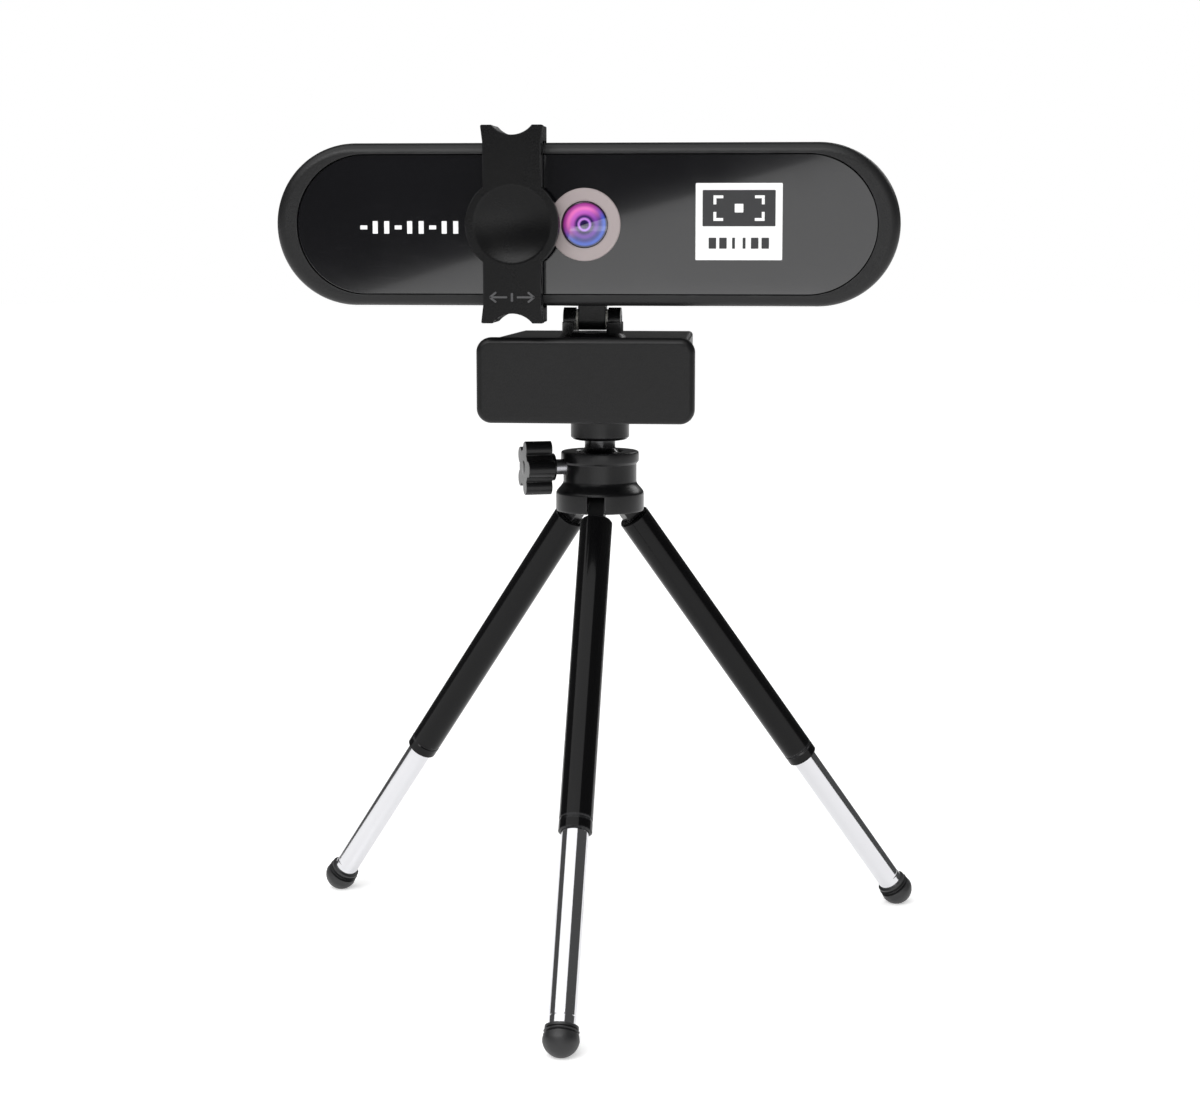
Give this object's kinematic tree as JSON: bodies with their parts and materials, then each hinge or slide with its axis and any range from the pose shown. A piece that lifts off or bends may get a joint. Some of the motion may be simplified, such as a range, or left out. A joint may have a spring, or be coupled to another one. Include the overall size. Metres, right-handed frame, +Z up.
{
  "type": "webcam on tripod",
  "caption": "Wide capsule-shaped webcam with a sliding lens cover, on a folding screen clip that stands on a mini tripod with telescopic legs.",
  "frame": {"origin": "on the surface that the feet stand on, on the axis of the tripod's head", "axes": "+Z up, +X to the right of someone who looks at the lens, +Y away from them, so the lens looks along -Y"},
  "size_m": [0.1216, 0.1061, 0.1547],
  "materials": {
    "satin_black_plastic": "satin",
    "case_plastic": "fine-grain satin",
    "clip_plastic": "satin",
    "cover_plastic": "fine-grain satin",
    "panel_gloss": "polished",
    "lens_ring_print": "polished",
    "lens_glass": "coated",
    "rubber": "matte",
    "foot_rubber": "matte",
    "head_metal": "satin",
    "leg_paint": "gloss",
    "leg_chrome": "polished",
    "steel": "brushed",
    "nylon": "matte",
    "insert_brass": "satin",
    "board_green": "satin",
    "chip_black": "matte",
    "microphone_can": "satin"
  },
  "bodies": {
    "tripod_head": {"head_collar": "head_metal", "ball_seat": "nylon", "leg_pins": "steel"},
    "knob": {"clamp_knob": "satin_black_plastic", "clamp_screw": "steel"},
    "ball": {"ball_stem": "steel", "platform": "head_metal", "platform_pad": "rubber", "tripod_stud": "steel"},
    "lower_clip": {"lower_arm": "clip_plastic", "lower_pad": "rubber", "thread_insert": "insert_brass", "hinge_pin": "steel", "hinge_caps": "clip_plastic", "foot_pin": "steel"},
    "foot": {"foot_plate": "clip_plastic", "foot_pad": "rubber"},
    "upper_clip": {"upper_arm": "clip_plastic", "lip_cover": "clip_plastic", "upper_pad": "rubber"},
    "fork": {"swivel_fork": "satin_black_plastic", "tilt_pin": "steel", "tilt_washers": "nylon", "swivel_screw": "steel", "swivel_washer": "steel"},
    "camera": {"front_bezel": "case_plastic", "front_panel": "panel_gloss", "lens_ring": "lens_ring_print", "lens_window": "lens_glass", "lens_barrel": "satin_black_plastic", "lens_front_element": "lens_glass", "lens_rear_elements": "lens_glass", "focus_housing": "satin_black_plastic", "image_sensor": "chip_black", "main_board": "board_green", "board_chips": "chip_black", "board_screws": "steel", "microphones": "microphone_can", "rear_shell": "case_plastic", "shell_screws": "steel", "cable_gland": "rubber", "tilt_lug": "case_plastic", "lug_screws": "steel"},
    "lens_cover": {"cover_carriage": "cover_plastic", "cover_face": "cover_plastic"},
    "leg_front": {"leg_eye_front": "nylon", "leg_tube_front": "leg_paint"},
    "inner_front": {"leg_inner_front": "leg_chrome", "leg_bush_front": "nylon", "leg_foot_front": "foot_rubber"},
    "leg_right": {"leg_eye_right": "nylon", "leg_tube_right": "leg_paint"},
    "inner_right": {"leg_inner_right": "leg_chrome", "leg_bush_right": "nylon", "leg_foot_right": "foot_rubber"},
    "leg_left": {"leg_eye_left": "nylon", "leg_tube_left": "leg_paint"},
    "inner_left": {"leg_inner_left": "leg_chrome", "leg_bush_left": "nylon", "leg_foot_left": "foot_rubber"}
  },
  "joints": [
    {"name": "knob_turn", "type": "hinge", "parent": "tripod_head", "child": "knob", "pos_m": [0, 0, 0.09248], "axis": [-0.9397, -0.342, 0], "range_deg": [0, 360]},
    {"name": "ball_tilt", "type": "hinge", "parent": "tripod_head", "child": "ball", "pos_m": [0, 0, 0.09248], "axis": [-1, 0, 0], "range_deg": [-15, 15]},
    {"name": "head_pan", "type": "hinge", "parent": "ball", "child": "lower_clip", "pos_m": [0, 0, 0.10463], "axis": [0, 0, 1], "range_deg": [-180, 180]},
    {"name": "foot_fold", "type": "hinge", "parent": "lower_clip", "child": "foot", "pos_m": [0, -0.021, 0.10703], "axis": [-1, 0, 0], "range_deg": [0, 90]},
    {"name": "clip_open", "type": "hinge", "parent": "lower_clip", "child": "upper_clip", "pos_m": [0, 0.018, 0.11248], "axis": [-1, 0, 0], "range_deg": [0, 100]},
    {"name": "camera_swivel", "type": "hinge", "parent": "upper_clip", "child": "fork", "pos_m": [0, -0.0135, 0.11728], "axis": [0, 0, 1], "range_deg": [-180, 180]},
    {"name": "camera_tilt", "type": "hinge", "parent": "fork", "child": "camera", "pos_m": [0, -0.0135, 0.12048], "axis": [-1, 0, 0], "range_deg": [-6, 22]},
    {"name": "cover_slide", "type": "slide", "parent": "camera", "child": "lens_cover", "axis": [1, 0, 0], "range_m": [-0.022, 0.047]},
    {"name": "leg_front_fold", "type": "hinge", "parent": "tripod_head", "child": "leg_front", "pos_m": [0, -0.0048, 0.08553], "axis": [1, 0, 0], "range_deg": [0, 36.8]},
    {"name": "leg_front_slide", "type": "slide", "parent": "leg_front", "child": "inner_front", "axis": [0, 0.599, 0.8007], "range_m": [0, 0.0345]},
    {"name": "leg_right_fold", "type": "hinge", "parent": "tripod_head", "child": "leg_right", "pos_m": [0.00416, 0.0024, 0.08553], "axis": [-0.5, 0.866, 0], "range_deg": [0, 36.8]},
    {"name": "leg_right_slide", "type": "slide", "parent": "leg_right", "child": "inner_right", "axis": [-0.5188, -0.2995, 0.8007], "range_m": [0, 0.0345]},
    {"name": "leg_left_fold", "type": "hinge", "parent": "tripod_head", "child": "leg_left", "pos_m": [-0.00416, 0.0024, 0.08553], "axis": [-0.5, -0.866, 0], "range_deg": [0, 36.8]},
    {"name": "leg_left_slide", "type": "slide", "parent": "leg_left", "child": "inner_left", "axis": [0.5188, -0.2995, 0.8007], "range_m": [0, 0.0345]}
  ]
}
